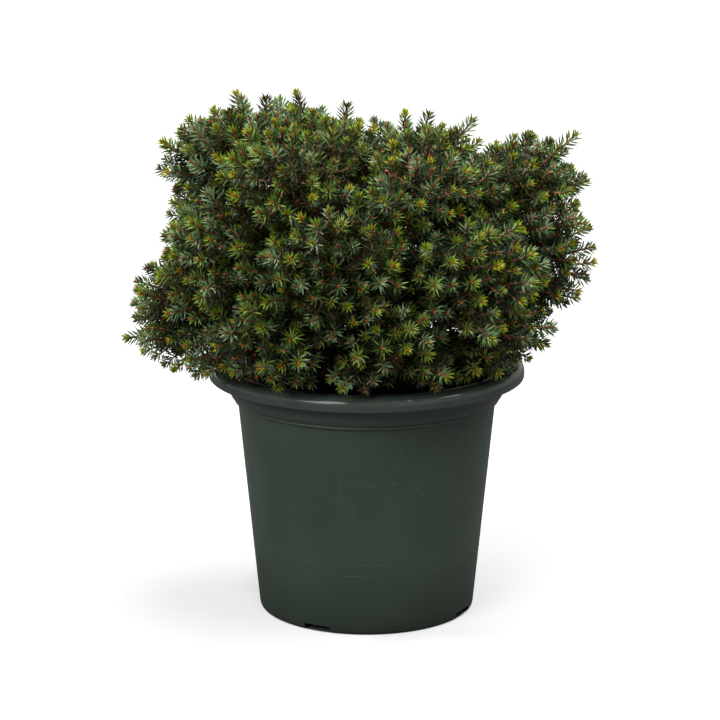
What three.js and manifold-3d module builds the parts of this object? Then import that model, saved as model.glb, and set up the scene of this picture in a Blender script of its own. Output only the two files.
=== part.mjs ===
// Potted little gem norway spruce: a dwarf conifer that grows as a dense flat-topped bun, in a
// three litre nursery pot. Units are millimetres and +Z is up. The origin is the centre of the
// pot's flat underside, and -Y is the side that faces the viewer.

import * as THREE from "three";
import * as BufferGeometryUtils from "three/addons/utils/BufferGeometryUtils.js";
import Module from "manifold-3d";

const wasm = await Module();
wasm.setup();

const X_AXIS = new THREE.Vector3(1, 0, 0);
const Y_AXIS = new THREE.Vector3(0, 1, 0);
const Z_AXIS = new THREE.Vector3(0, 0, 1);

// Clearance between solids that touch on the real plant
const CLEARANCE = 0.35;

// Pot: straight flared wall, a rounded bead up to a collar, and a rolled lip that is open below
const POT_HEIGHT = 151.5;
const POT_SEGMENTS = 32;
const POT_WALL = 1.6;
const WALL_RADIUS_AT_GROUND = 65.2;
const WALL_FLARE = 0.0975;
const WALL_TOP = 130;
const FOOT_RADIUS = 63.5;
const FOOT_ROUNDING = 2.5;
const FOOT_RING_INNER = 58.5;
const CENTRE_DISC_RADIUS = 40;
const CHANNEL_RISE = 4;
const CHANNEL_SLOPE = 1.5;
const COLLAR_RADIUS = 83;
const BEAD_RADIUS = 79.7;
const BEAD_STEP = 0.5;
const BEAD_TOP = 136.5;
const LIP_RADIUS = 95;
const LIP_WIDTH = 14.8;
const LIP_DEPTH = 6.5;
const LIP_OVERHANG = 1.7;
const LIP_EDGE = 1.6;
const LIP_INNER_END = 150;
const LIP_STEPS = 5;
const LIP_SQUARENESS = 0.65;
const NOTCH_COUNT = 4;
const NOTCH_WIDTH = 17;
const NOTCH_TURN = -117;
const HOLE_COUNT = 6;
const HOLE_RADIUS = 4.5;
const HOLE_SIDES = 8;

// Soil
const SOIL_TOP = 136;
const SOIL_CROWNING = 1.2;

// Trunk: a short stem that the crown hides, with its root flare
const TRUNK_FOOT = SOIL_TOP + SOIL_CROWNING + CLEARANCE;
const TRUNK_TOP = 171;
const TRUNK_LENGTH = TRUNK_TOP - TRUNK_FOOT;
const TRUNK_RADIUS = 8.6;
const TRUNK_TAPER = 0.7;
const TRUNK_LEAN_X = -3;
const TRUNK_LEAN_Y = 1.5;
const TRUNK_SIDES = 10;
const TRUNK_RINGS = 6;
const FLARE_RADIUS = 6.5;
const FLARE_HEIGHT = 7;
const BUTTRESSES = 4;
const BUTTRESS_SHARE = 0.25;

// Tiers of boughs and masses. foot is the height where the boughs leave the trunk, hub the height
// that they fan out from, and directions how many ways the sprays of a mass are spread over
const TIERS = {
  low: { foot: 147, hub: 152, footRadius: 2.7, directions: 36 },
  mid: { foot: 158, hub: 172, footRadius: 2.6, directions: 36 },
  top: { foot: TRUNK_TOP, hub: 200, footRadius: 2.05, directions: 30 },
};
const BOUGH_SIDES = 5;
const BOUGH_RINGS = 3;
const BOUGH_TIP_RADIUS = 1.7;
const BOUGH_SWEEP = 0.45;
const FORK_RING = 6.6;
const FORK_MIDDLE = 2.45;

// Masses of foliage. azimuth is in degrees anticlockwise from the right-hand side, so that -90 is
// the front; out is the distance of the middle from the pot's axis; reach is from the middle to the
// tips; spread widens a mass round the crown; fork is the side of the trunk's tip, front or back,
// where the bough of a middle mass stands
const MASSES = [
  { tier: "low", side: "left", azimuth: 180, out: 98, height: 177, reach: 49, hangs: true },
  { tier: "low", side: "front_left", azimuth: -131, out: 88, height: 174, reach: 45 },
  { tier: "low", side: "front", azimuth: -80, out: 85, height: 174, reach: 45 },
  { tier: "low", side: "front_right", azimuth: -29, out: 84, height: 178, reach: 44 },
  { tier: "low", side: "back_right", azimuth: 24, out: 84, height: 177, reach: 43 },
  { tier: "low", side: "back", azimuth: 76, out: 85, height: 175, reach: 44 },
  { tier: "low", side: "back_left", azimuth: 129, out: 89, height: 174, reach: 45 },
  { tier: "mid", side: "front_left", azimuth: -155, out: 92, height: 223, reach: 45 },
  { tier: "mid", side: "front", azimuth: -101, out: 89, height: 222, reach: 45 },
  { tier: "mid", side: "front_right", azimuth: -53, out: 90, height: 221, reach: 45 },
  { tier: "mid", side: "right", azimuth: -2, out: 94, height: 213, reach: 44 },
  { tier: "mid", side: "back_right", azimuth: 49, out: 90, height: 217, reach: 45 },
  { tier: "mid", side: "back", azimuth: 101, out: 89, height: 221, reach: 45 },
  { tier: "mid", side: "back_left", azimuth: 153, out: 91, height: 223, reach: 45 },
  { tier: "top", side: "left", azimuth: 180, out: 81, height: 273, reach: 44 },
  { tier: "top", side: "front_left", azimuth: -122, out: 72, height: 273, reach: 43 },
  { tier: "top", side: "front_right", azimuth: -62, out: 72, height: 264, reach: 42 },
  { tier: "top", side: "right", azimuth: -3, out: 92, height: 254, reach: 40 },
  { tier: "top", side: "back_right", azimuth: 61, out: 73, height: 260, reach: 42 },
  { tier: "top", side: "back_left", azimuth: 121, out: 73, height: 267, reach: 43 },
  { tier: "top", side: "middle_left", azimuth: 165, out: 24, height: 268, reach: 43, spread: 1.4, fork: 1 },
  { tier: "top", side: "middle_right", azimuth: -5, out: 32, height: 262, reach: 41, spread: 1.4, fork: -1 },
];
const SPREAD = 1.24;
const SPACE_MARGIN = 0.25;
const RIM_CLEARANCE = 0.8;

// Foliage rises away from the rim outside the pot, and only a mass that hangs dips just below it
const UNDERSIDE_RISE = 0.22;
const HANG_BELOW_RIM = 5;

// Outline of the crown: at each height, how far the ends of its shoots reach to the left, to the
// right and to the front and back, and the line of its top from left to right, which is highest on
// the left, dips between the masses and curves down to the front and back
const OUTLINE = [
  { height: 148, left: 122, right: 90, deep: 102 },
  { height: 164, left: 148, right: 106, deep: 112 },
  { height: 190, left: 147, right: 122, deep: 120 },
  { height: 208, left: 138, right: 136, deep: 124 },
  { height: 223, left: 132, right: 139, deep: 124 },
  { height: 242, left: 127, right: 136, deep: 121 },
  { height: 252, left: 121, right: 126, deep: 118 },
  { height: 262, left: 124, right: 134, deep: 115 },
  { height: 285, left: 122, right: 126, deep: 106 },
  { height: 298, left: 104, right: 122, deep: 92 },
  { height: 312, left: 76, right: 60, deep: 70 },
];
const OUTLINE_POWER = 2.4;
const TOP_LINE = [
  { x: -125, height: 303 },
  { x: -100, height: 309 },
  { x: -75, height: 311 },
  { x: -40, height: 308 },
  { x: -20, height: 301 },
  { x: 5, height: 295 },
  { x: 25, height: 298 },
  { x: 50, height: 294 },
  { x: 75, height: 286 },
  { x: 100, height: 289 },
  { x: 130, height: 287 },
];
const TOP_CURVE = 0.0018;

// Ends of the single leaders that stand out of the crown
const LEADER_TIPS = [
  [-120, -5, 285],
  [-117, -12, 268],
  [-105, 10, 296],
  [-78, 20, 310],
  [-60, 15, 308],
  [-42, 12, 312],
  [-12, 20, 303],
  [23, 20, 299],
  [37, 19, 298],
  [63, 17, 295],
  [88, 15, 285],
  [124, 10, 287],
  [130, 0, 261],
  [132, -6, 234],
  [134, -5, 222],
  [118, -14, 190],
  [106, -26, 168],
  [-136, -8, 202],
  [-139, -6, 188],
  [-144, -8, 167],
  [-59, -101, 195],
  [-14, -106, 161],
  [-6, -112, 180],
  [42, -97, 188],
];

// The dense core of each mass, a lumpy ball that the sprays stand out of
const CORE_SHARE = 0.72;
const CORE_LUMPS = 0.033;
const CORE_LUMP_SIZE = 7;
const CORE_DETAIL = 1;
const CORE_ROOM = 1.25;
const STEM_RADIUS = 1.7;
const ENTRY_SHARE = 1.25 * CORE_SHARE;

// Sprays of needles
const GOLDEN_ANGLE = Math.PI * (3 - Math.sqrt(5));
const DIRECTIONS_USED = 0.66;
const DIRECTION_JITTER = 0.3;
const UPWARD_BIAS = 0.2;
const LENGTH_TRIES = [1, 0.95, 0.9, 0.85, 0.8, 0.75, 0.7];
const LENGTH_JITTER = 0.26;
const LONG_SHARE = 0.06;
const LONG_LENGTH = 1.12;
const PILLOW = 0.25;
const PILLOW_LIMIT = 1.5;
const SPRAY_FOOT_RADIUS = 2.4;
const SPRAY_TIP_RADIUS = 1.3;
const NEEDLES_START = 1.2;
const NEEDLE_LENGTH = 9.5;
const NEEDLE_JITTER = 0.15;
const NEEDLE_LEAN = 0.75;
const END_NEEDLES = 3.5;
const LIMB_CLEARANCE = 1;

const MATERIALS = {
  pot: new THREE.MeshStandardMaterial({ color: 0x1b2a22, roughness: 0.35, metalness: 0 }),
  soil: new THREE.MeshStandardMaterial({ color: 0x2a1f17, roughness: 0.95, metalness: 0 }),
  bark: new THREE.MeshStandardMaterial({ color: 0x5d4a38, roughness: 0.9, metalness: 0 }),
  needles: new THREE.MeshStandardMaterial({ color: 0x2c4a30, roughness: 0.6, metalness: 0 }),
};

// A repeatable stream of numbers from 0 to 1
function seeded(seed) {
  let state = seed;
  return () => {
    state = (state * 1664525 + 1013904223) % 4294967296;
    return state / 4294967296;
  };
}

// A closed solid from any closed geometry, with its shared corners merged
function solidOf(geometry) {
  const bare = new THREE.BufferGeometry();
  bare.setAttribute("position", geometry.getAttribute("position"));
  bare.setIndex(geometry.getIndex());
  const merged = BufferGeometryUtils.mergeVertices(bare, 1e-3);
  const index = merged.getIndex().array;
  const triangles = [];
  for (let i = 0; i < index.length; i += 3) {
    const [a, b, c] = index.slice(i, i + 3);
    if (a !== b && b !== c && c !== a) triangles.push(a, b, c);
  }
  return new wasm.Manifold(new wasm.Mesh({
    numProp: 3,
    vertProperties: new Float32Array(merged.getAttribute("position").array),
    triVerts: new Uint32Array(triangles),
  }));
}

function namedMesh(name, solid, material) {
  const { vertProperties, triVerts } = solid.getMesh();
  const geometry = new THREE.BufferGeometry();
  geometry.setAttribute("position", new THREE.BufferAttribute(vertProperties, 3));
  geometry.setIndex(new THREE.BufferAttribute(triVerts, 1));
  geometry.computeVertexNormals();
  const mesh = new THREE.Mesh(geometry, material.clone());
  mesh.name = name;
  return mesh;
}

// A solid of revolution about Z from a path of radius and height
function revolved(path) {
  const geometry = new THREE.LatheGeometry(path.getPoints(2), POT_SEGMENTS);
  geometry.rotateX(Math.PI / 2);
  return solidOf(geometry);
}

function wallRadius(height) {
  return WALL_RADIUS_AT_GROUND + WALL_FLARE * height;
}

// The pot's section: underside with its drain channel, foot, wall, bead, collar and hollow lip,
// then back down the inside
function potPath() {
  const lipMiddle = LIP_RADIUS - LIP_WIDTH / 2;
  const lipBase = POT_HEIGHT - LIP_DEPTH;
  const lipFoot = lipBase - LIP_OVERHANG;
  const hollowRadius = (LIP_RADIUS - LIP_EDGE - COLLAR_RADIUS) / 2;
  const hollowDepth = LIP_DEPTH - POT_WALL;
  const floor = CHANNEL_RISE + POT_WALL;
  const inside = COLLAR_RADIUS - POT_WALL;
  const path = new THREE.Path();
  path.moveTo(0, 0);
  path.lineTo(CENTRE_DISC_RADIUS, 0);
  path.lineTo(CENTRE_DISC_RADIUS + CHANNEL_SLOPE, CHANNEL_RISE);
  path.lineTo(FOOT_RING_INNER - CHANNEL_SLOPE, CHANNEL_RISE);
  path.lineTo(FOOT_RING_INNER, 0);
  path.lineTo(FOOT_RADIUS, 0);
  path.quadraticCurveTo(wallRadius(0), 0, wallRadius(FOOT_ROUNDING), FOOT_ROUNDING);
  path.lineTo(wallRadius(WALL_TOP), WALL_TOP);
  path.lineTo(BEAD_RADIUS, WALL_TOP + BEAD_STEP);
  path.quadraticCurveTo(COLLAR_RADIUS, WALL_TOP + BEAD_STEP, COLLAR_RADIUS, BEAD_TOP);
  path.lineTo(COLLAR_RADIUS, lipBase);
  path.absellipse(COLLAR_RADIUS + hollowRadius, lipBase, hollowRadius, hollowDepth, Math.PI, 0, true);
  path.lineTo(LIP_RADIUS - LIP_EDGE, lipFoot);
  path.lineTo(LIP_RADIUS - LIP_EDGE / 3, lipFoot);
  for (let i = 0; i <= LIP_STEPS; i += 1) {
    const turn = THREE.MathUtils.degToRad((LIP_INNER_END / LIP_STEPS) * i);
    const across = Math.sign(Math.cos(turn)) * Math.abs(Math.cos(turn)) ** LIP_SQUARENESS;
    const up = Math.sin(turn) ** LIP_SQUARENESS;
    path.lineTo(lipMiddle + (across * LIP_WIDTH) / 2, lipBase + up * LIP_DEPTH);
  }
  path.lineTo(inside, lipBase);
  path.lineTo(inside, BEAD_TOP);
  path.quadraticCurveTo(inside, WALL_TOP + POT_WALL, wallRadius(WALL_TOP) - POT_WALL, WALL_TOP + BEAD_STEP);
  path.lineTo(wallRadius(floor) - POT_WALL, floor);
  path.lineTo(CENTRE_DISC_RADIUS, floor);
  path.lineTo(CENTRE_DISC_RADIUS - CHANNEL_SLOPE, POT_WALL);
  path.lineTo(0, POT_WALL);
  return path;
}

// Notches through the foot let water out of the channel, and holes drain the soil into it
function potSolid() {
  let pot = revolved(potPath());
  const ringWidth = WALL_RADIUS_AT_GROUND - FOOT_RING_INNER;
  for (let i = 0; i < NOTCH_COUNT; i += 1) {
    const notch = new THREE.BoxGeometry(2 * ringWidth, NOTCH_WIDTH, 2 * CHANNEL_RISE);
    notch.translate(FOOT_RING_INNER + ringWidth / 2, 0, 0);
    notch.rotateZ(THREE.MathUtils.degToRad(NOTCH_TURN + (360 / NOTCH_COUNT) * i));
    pot = pot.subtract(solidOf(notch));
  }
  for (let i = 0; i < HOLE_COUNT; i += 1) {
    const hole = new THREE.CylinderGeometry(HOLE_RADIUS, HOLE_RADIUS, 4 * POT_WALL, HOLE_SIDES);
    hole.rotateX(Math.PI / 2);
    hole.translate((CENTRE_DISC_RADIUS + FOOT_RING_INNER) / 2, 0, CHANNEL_RISE);
    hole.rotateZ(THREE.MathUtils.degToRad((360 / HOLE_COUNT) * (i + 0.5)));
    pot = pot.subtract(solidOf(hole));
  }
  return pot;
}

// The soil fills the pot to just under the rim, a little proud round the stem
function soilSolid() {
  const floor = CHANNEL_RISE + POT_WALL + CLEARANCE;
  const wall = POT_WALL + CLEARANCE;
  const path = new THREE.Path();
  path.moveTo(0, wall);
  path.lineTo(CENTRE_DISC_RADIUS - CHANNEL_SLOPE - CLEARANCE, wall);
  path.lineTo(CENTRE_DISC_RADIUS - CLEARANCE, floor);
  path.lineTo(wallRadius(floor) - wall, floor);
  path.lineTo(wallRadius(WALL_TOP) - wall, WALL_TOP + BEAD_STEP + CLEARANCE);
  path.lineTo(COLLAR_RADIUS - 2 * wall, SOIL_TOP - CLEARANCE);
  path.lineTo(COLLAR_RADIUS / 3, SOIL_TOP + SOIL_CROWNING);
  path.lineTo(0, SOIL_TOP + SOIL_CROWNING);
  return revolved(path);
}

function trunkAxis(height) {
  const share = (height - TRUNK_FOOT) / TRUNK_LENGTH;
  return new THREE.Vector3(TRUNK_LEAN_X * share, TRUNK_LEAN_Y * share, height);
}

// The stem tapers upwards, leans and spreads into buttressed roots at the soil, with rings that
// are closer together in the flare. extra thickens it all round
function trunkSolid(extra) {
  const geometry = new THREE.CylinderGeometry(1, 1, 1, TRUNK_SIDES, TRUNK_RINGS);
  const position = geometry.getAttribute("position");
  for (let i = 0; i < position.count; i += 1) {
    const share = (position.getY(i) + 0.5) ** 1.5;
    const rise = share * TRUNK_LENGTH;
    const angle = Math.atan2(position.getZ(i), position.getX(i));
    const lobes = 1 + BUTTRESS_SHARE * Math.cos(BUTTRESSES * angle);
    const flare = FLARE_RADIUS * Math.exp(-rise / FLARE_HEIGHT) * lobes;
    const radius = TRUNK_RADIUS - TRUNK_TAPER * share + flare + extra;
    const axis = trunkAxis(TRUNK_FOOT + rise);
    const x = axis.x + position.getX(i) * radius;
    const y = axis.y - position.getZ(i) * radius;
    position.setXYZ(i, x, y, axis.z + Math.sign(share - 0.5) * extra);
  }
  return solidOf(geometry);
}

// A tapering limb along a curve: a cylinder whose rings are set square to the curve, all turned the
// same way round it
function limbSolid(curve, footRadius, tipRadius, rings) {
  const geometry = new THREE.CylinderGeometry(1, 1, 1, BOUGH_SIDES, rings);
  const position = geometry.getAttribute("position");
  const chord = curve.getPoint(1).sub(curve.getPoint(0)).normalize();
  const helper = Math.abs(chord.z) > 0.8 ? X_AXIS : Z_AXIS;
  const across = new THREE.Vector3();
  const up = new THREE.Vector3();
  for (let i = 0; i < position.count; i += 1) {
    const share = THREE.MathUtils.clamp(position.getY(i) + 0.5, 0, 1);
    const tangent = curve.getTangent(share);
    across.crossVectors(tangent, helper).normalize();
    up.crossVectors(across, tangent);
    const radius = THREE.MathUtils.lerp(footRadius, tipRadius, share);
    const point = curve.getPoint(share);
    point.addScaledVector(across, position.getX(i) * radius);
    point.addScaledVector(up, position.getZ(i) * radius);
    position.setXYZ(i, point.x, point.y, point.z);
  }
  return solidOf(geometry);
}

function outwardOf(mass) {
  return X_AXIS.clone().applyAxisAngle(Z_AXIS, THREE.MathUtils.degToRad(mass.azimuth));
}

function middleOf(mass) {
  return outwardOf(mass).multiplyScalar(mass.out).setZ(mass.height);
}

// The way from the hub of its tier to the middle of a mass
function facingOf(mass) {
  return middleOf(mass).sub(trunkAxis(TIERS[mass.tier].hub)).normalize();
}

// Masses are wider round the crown than they are deep
function spreadOut(mass, offset) {
  const round = new THREE.Vector3().crossVectors(Z_AXIS, outwardOf(mass));
  return offset.addScaledVector(round, ((mass.spread ?? SPREAD) - 1) * offset.dot(round));
}

// A bough starts on the trunk's side, or on its tip for the top tier, and sweeps round to point at
// the middle of its mass, where it ends short of the core
function boughCurve(mass) {
  const facing = facingOf(mass);
  const end = middleOf(mass).addScaledVector(facing, -mass.reach * ENTRY_SHARE);
  const start = trunkAxis(TIERS[mass.tier].foot);
  if (mass.fork) {
    start.y += FORK_MIDDLE * mass.fork;
  } else if (mass.tier === "top") {
    start.addScaledVector(outwardOf(mass), FORK_RING);
  } else {
    start.addScaledVector(outwardOf(mass), TRUNK_RADIUS - TRUNK_TAPER / 2);
  }
  const bend = end.clone().addScaledVector(facing, -BOUGH_SWEEP * end.distanceTo(start));
  return new THREE.QuadraticBezierCurve3(start, bend, end);
}

// The space of a mass is where it is nearer, for its reach, than every other mass
function spacePlanes(mass) {
  const middle = middleOf(mass);
  return MASSES.filter((other) => other !== mass).map((other) => {
    const away = middleOf(other).sub(middle);
    const apart = away.length();
    const toFace = (apart * apart + mass.reach ** 2 - other.reach ** 2) / (2 * apart);
    const normal = away.normalize();
    return new THREE.Plane(normal, -normal.dot(middle) - toFace);
  });
}

// The lowest that foliage hangs: above the rim over the pot, and rising from there outside it
function lowestAt(point, mass) {
  const beyond = Math.hypot(point.x, point.y) - (LIP_RADIUS + RIM_CLEARANCE);
  const lowest = POT_HEIGHT + RIM_CLEARANCE + UNDERSIDE_RISE * Math.max(0, beyond);
  return mass.hangs && beyond > 0 ? lowest - HANG_BELOW_RIM : lowest;
}

function inSpace(geometry, mass, planes) {
  const position = geometry.getAttribute("position");
  const point = new THREE.Vector3();
  for (let i = 0; i < position.count; i += 1) {
    point.fromBufferAttribute(position, i);
    if (planes.some((plane) => plane.distanceToPoint(point) > -SPACE_MARGIN)) return false;
    if (point.z < lowestAt(point, mass)) return false;
  }
  return true;
}

// A value from a table, between the rows on either side of a place in its first column
function between(rows, column, place, wanted) {
  const level = THREE.MathUtils.clamp(place, rows[0][column], rows[rows.length - 1][column]);
  const above = Math.max(1, rows.findIndex((row) => row[column] >= level));
  const [low, high] = [rows[above - 1], rows[above]];
  const share = (level - low[column]) / (high[column] - low[column]);
  return THREE.MathUtils.lerp(low[wanted], high[wanted], share);
}

function inOutline({ x, y, z }) {
  if (z > between(TOP_LINE, "x", x, "height") - TOP_CURVE * y * y) return false;
  const across = Math.abs(x) / between(OUTLINE, "height", z, x < 0 ? "left" : "right");
  const deep = Math.abs(y) / between(OUTLINE, "height", z, "deep");
  return across ** OUTLINE_POWER + deep ** OUTLINE_POWER < 1;
}

// Points along the middle of each limb, with the radius there
function limbPoints(curves) {
  const points = [];
  for (let height = TRUNK_FOOT; height <= TRUNK_TOP; height += TRUNK_RADIUS) {
    points.push({ point: trunkAxis(height), radius: TRUNK_RADIUS });
  }
  for (const curve of curves) {
    for (const point of curve.getPoints(12)) points.push({ point, radius: BOUGH_TIP_RADIUS });
  }
  return points;
}

function clearOfLimbs(root, tip, limbs) {
  const line = new THREE.Line3(root, tip);
  const nearest = new THREE.Vector3();
  return limbs.every(({ point, radius }) => {
    line.closestPointToPoint(point, true, nearest);
    return nearest.distanceTo(point) > radius + NEEDLE_LENGTH + LIMB_CLEARANCE;
  });
}

// A spray is a three-sided twig, bare up to where it leaves the core. Every other facet of the rest
// is drawn out into a needle that leans forward, and the end rises to a point
function sprayGeometry(root, tip, bareLength, random) {
  const length = root.distanceTo(tip) - NEEDLE_LENGTH / 2;
  const bare = Math.min(bareLength, length - NEEDLE_LENGTH / 2);
  const radii = [SPRAY_TIP_RADIUS, SPRAY_FOOT_RADIUS];
  const twig = new THREE.CylinderGeometry(...radii, length, 3, 2).toNonIndexed();
  const position = twig.getAttribute("position");
  const rings = [0, bare, length];
  for (let i = 0; i < position.count; i += 1) {
    const ring = Math.round((position.getY(i) / length + 0.5) * 2);
    const isPoint = ring === 2 && Math.hypot(position.getX(i), position.getZ(i)) < SPRAY_TIP_RADIUS / 2;
    position.setY(i, rings[ring] + (isPoint ? NEEDLE_LENGTH / 2 : 0));
  }
  const corners = [new THREE.Vector3(), new THREE.Vector3(), new THREE.Vector3()];
  const facet = new THREE.Triangle(...corners);
  const middle = new THREE.Vector3();
  const normal = new THREE.Vector3();
  const points = [];
  for (let i = 0; i < position.count; i += 3) {
    corners.forEach((corner, k) => corner.fromBufferAttribute(position, i + k));
    facet.getMidpoint(middle);
    facet.getNormal(normal);
    if (middle.y < bare || middle.y > length || (i / 3) % 2 === 1) {
      points.push(...corners.map((corner) => corner.clone()));
      continue;
    }
    const needle = NEEDLE_LENGTH * (1 + NEEDLE_JITTER * (2 * random() - 1));
    const apex = middle.clone();
    apex.addScaledVector(normal, needle * Math.cos(NEEDLE_LEAN));
    apex.addScaledVector(Y_AXIS, needle * Math.sin(NEEDLE_LEAN));
    for (let k = 0; k < 3; k += 1) {
      points.push(corners[k].clone(), corners[(k + 1) % 3].clone(), apex.clone());
    }
  }
  const geometry = new THREE.BufferGeometry().setFromPoints(points);
  const heading = tip.clone().sub(root).normalize();
  geometry.applyQuaternion(new THREE.Quaternion().setFromUnitVectors(Y_AXIS, heading));
  geometry.translate(root.x, root.y, root.z);
  return geometry;
}

// Directions evenly spread round the way that the mass faces, each a little off its place and
// drawn upwards. Those that lean from the way it faces are longer, which flattens its front
function sprayHeadings(mass, random) {
  const count = TIERS[mass.tier].directions;
  const turned = new THREE.Quaternion().setFromUnitVectors(Z_AXIS, facingOf(mass));
  const turn = 2 * Math.PI * random();
  const facing = facingOf(mass);
  const headings = [];
  for (let k = 0; k < DIRECTIONS_USED * count; k += 1) {
    const height = 1 - (2 * k + 0.2) / count;
    const across = Math.sqrt(1 - height * height);
    const angle = k * GOLDEN_ANGLE + turn;
    const direction = new THREE.Vector3(
      across * Math.cos(angle) + DIRECTION_JITTER * (random() - 0.5),
      across * Math.sin(angle) + DIRECTION_JITTER * (random() - 0.5),
      height + DIRECTION_JITTER * (random() - 0.5),
    ).applyQuaternion(turned);
    direction.z += UPWARD_BIAS;
    direction.normalize();
    const cosine = direction.dot(facing);
    const pillow = cosine < 0 ? 1 : 1 + PILLOW * (1 / Math.max(cosine, 1 / PILLOW_LIMIT) - 1);
    headings.push(spreadOut(mass, direction).multiplyScalar(mass.reach * pillow));
  }
  return headings;
}

// Each spray grows from the stem's end at the middle of the mass, and ends short of the crown's
// outline by a chance share of its length, but for a few that stand out of it. One that would leave
// the mass's space or touch a limb is grown shorter, or else skipped
function massSprays(mass, seed, limbs) {
  const random = seeded(seed);
  const middle = middleOf(mass);
  const planes = spacePlanes(mass);
  const headings = sprayHeadings(mass, random);
  const chances = headings.map(() => random());
  const sprays = [];
  const grow = (heading, share, growth) => {
    const length = heading.length() * share;
    const tip = middle.clone().addScaledVector(heading, share * (growth + END_NEEDLES / length));
    const spray = sprayGeometry(middle, tip, length * CORE_SHARE + NEEDLES_START, random);
    if (!inSpace(spray, mass, planes) || !clearOfLimbs(middle, tip, limbs)) return false;
    sprays.push(spray);
    return true;
  };
  headings.forEach((heading, k) => {
    const growth = chances[k] < LONG_SHARE ? LONG_LENGTH : 1 - LENGTH_JITTER * chances[k];
    const inside = (share) => inOutline(middle.clone().addScaledVector(heading, share));
    LENGTH_TRIES.some((share) => inside(share) && grow(heading, share, growth));
  });
  for (const [x, y, z] of LEADER_TIPS) {
    const tip = new THREE.Vector3(x, y, z);
    const held = planes.every((plane) => plane.distanceToPoint(tip) < 0);
    if (held) grow(tip.sub(middle), 1, 1);
  }
  return sprays;
}

function stemSolid(mass, curve) {
  const start = curve.getPoint(1).addScaledVector(curve.getTangent(1), CLEARANCE);
  return limbSolid(new THREE.LineCurve3(start, middleOf(mass)), STEM_RADIUS, STEM_RADIUS, 1);
}

// The core leaves room for the sprays inside the crown's outline, and is cut off where it would
// leave the mass's space or lie on the rim
function coreSolid(mass) {
  const radius = mass.reach * CORE_SHARE;
  const middle = middleOf(mass);
  const ball = new THREE.IcosahedronGeometry(radius, CORE_DETAIL);
  const position = ball.getAttribute("position");
  const point = new THREE.Vector3();
  for (let i = 0; i < position.count; i += 1) {
    point.fromBufferAttribute(position, i);
    const waves = point.toArray().map((value) => Math.sin(value / CORE_LUMP_SIZE));
    point.multiplyScalar(1 + CORE_LUMPS * (waves[0] + waves[1] + waves[2]));
    spreadOut(mass, point);
    while (!inOutline(middle.clone().addScaledVector(point, CORE_ROOM))) point.multiplyScalar(0.95);
    point.add(middle);
    position.setXYZ(i, point.x, point.y, point.z);
  }
  let core = solidOf(ball).trimByPlane(Z_AXIS.toArray(), POT_HEIGHT + RIM_CLEARANCE);
  for (const plane of spacePlanes(mass)) {
    const inward = plane.normal.clone().negate();
    if (-plane.distanceToPoint(middle) < 2 * radius) {
      core = core.trimByPlane(inward.toArray(), plane.constant + SPACE_MARGIN);
    }
  }
  return core;
}

// The mass in one piece: what came loose is dropped, and what got sealed is filled
function massSolid(mass, seed, curve, limbs) {
  const pieces = massSprays(mass, seed, limbs).map(solidOf);
  pieces.push(coreSolid(mass), stemSolid(mass, curve));
  const parts = wasm.Manifold.union(pieces).decompose();
  return parts.reduce((best, part) => (part.volume() > best.volume() ? part : best));
}

function build() {
  const group = new THREE.Group();
  group.add(namedMesh("pot", potSolid(), MATERIALS.pot));
  group.add(namedMesh("potting_soil", soilSolid(), MATERIALS.soil));
  group.add(namedMesh("trunk", trunkSolid(0), MATERIALS.bark));
  const curves = MASSES.map(boughCurve);
  const limbs = limbPoints(curves);
  const aroundTrunk = trunkSolid(CLEARANCE);
  MASSES.forEach((mass, i) => {
    const place = `${mass.tier}_${mass.side}`;
    const { footRadius } = TIERS[mass.tier];
    const bough = limbSolid(curves[i], footRadius, BOUGH_TIP_RADIUS, BOUGH_RINGS);
    group.add(namedMesh(`bough_${place}`, bough.subtract(aroundTrunk), MATERIALS.bark));
    group.add(namedMesh(`mass_${place}`, massSolid(mass, i + 1, curves[i], limbs), MATERIALS.needles));
  });
  return group;
}

export default build();
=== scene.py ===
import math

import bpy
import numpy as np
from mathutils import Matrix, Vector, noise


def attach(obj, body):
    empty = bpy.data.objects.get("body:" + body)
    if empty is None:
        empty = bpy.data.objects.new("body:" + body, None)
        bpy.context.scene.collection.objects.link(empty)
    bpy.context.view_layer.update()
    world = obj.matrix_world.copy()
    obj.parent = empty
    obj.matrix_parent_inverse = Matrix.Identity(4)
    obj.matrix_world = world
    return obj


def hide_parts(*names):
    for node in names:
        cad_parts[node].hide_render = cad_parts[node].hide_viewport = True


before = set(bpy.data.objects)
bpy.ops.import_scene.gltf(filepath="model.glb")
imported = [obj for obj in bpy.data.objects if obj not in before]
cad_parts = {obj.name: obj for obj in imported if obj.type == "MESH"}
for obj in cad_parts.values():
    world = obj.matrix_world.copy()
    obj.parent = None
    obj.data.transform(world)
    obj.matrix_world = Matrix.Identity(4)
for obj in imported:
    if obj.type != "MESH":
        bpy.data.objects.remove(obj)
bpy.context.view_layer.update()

# Looks of a potted little gem norway spruce. Sizes are in millimetres, named as in the part's
# source, and become metres when a mesh is made. +Z is up, the origin is the middle of the pot's
# underside and -Y faces the viewer.

MM = 0.001

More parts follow.
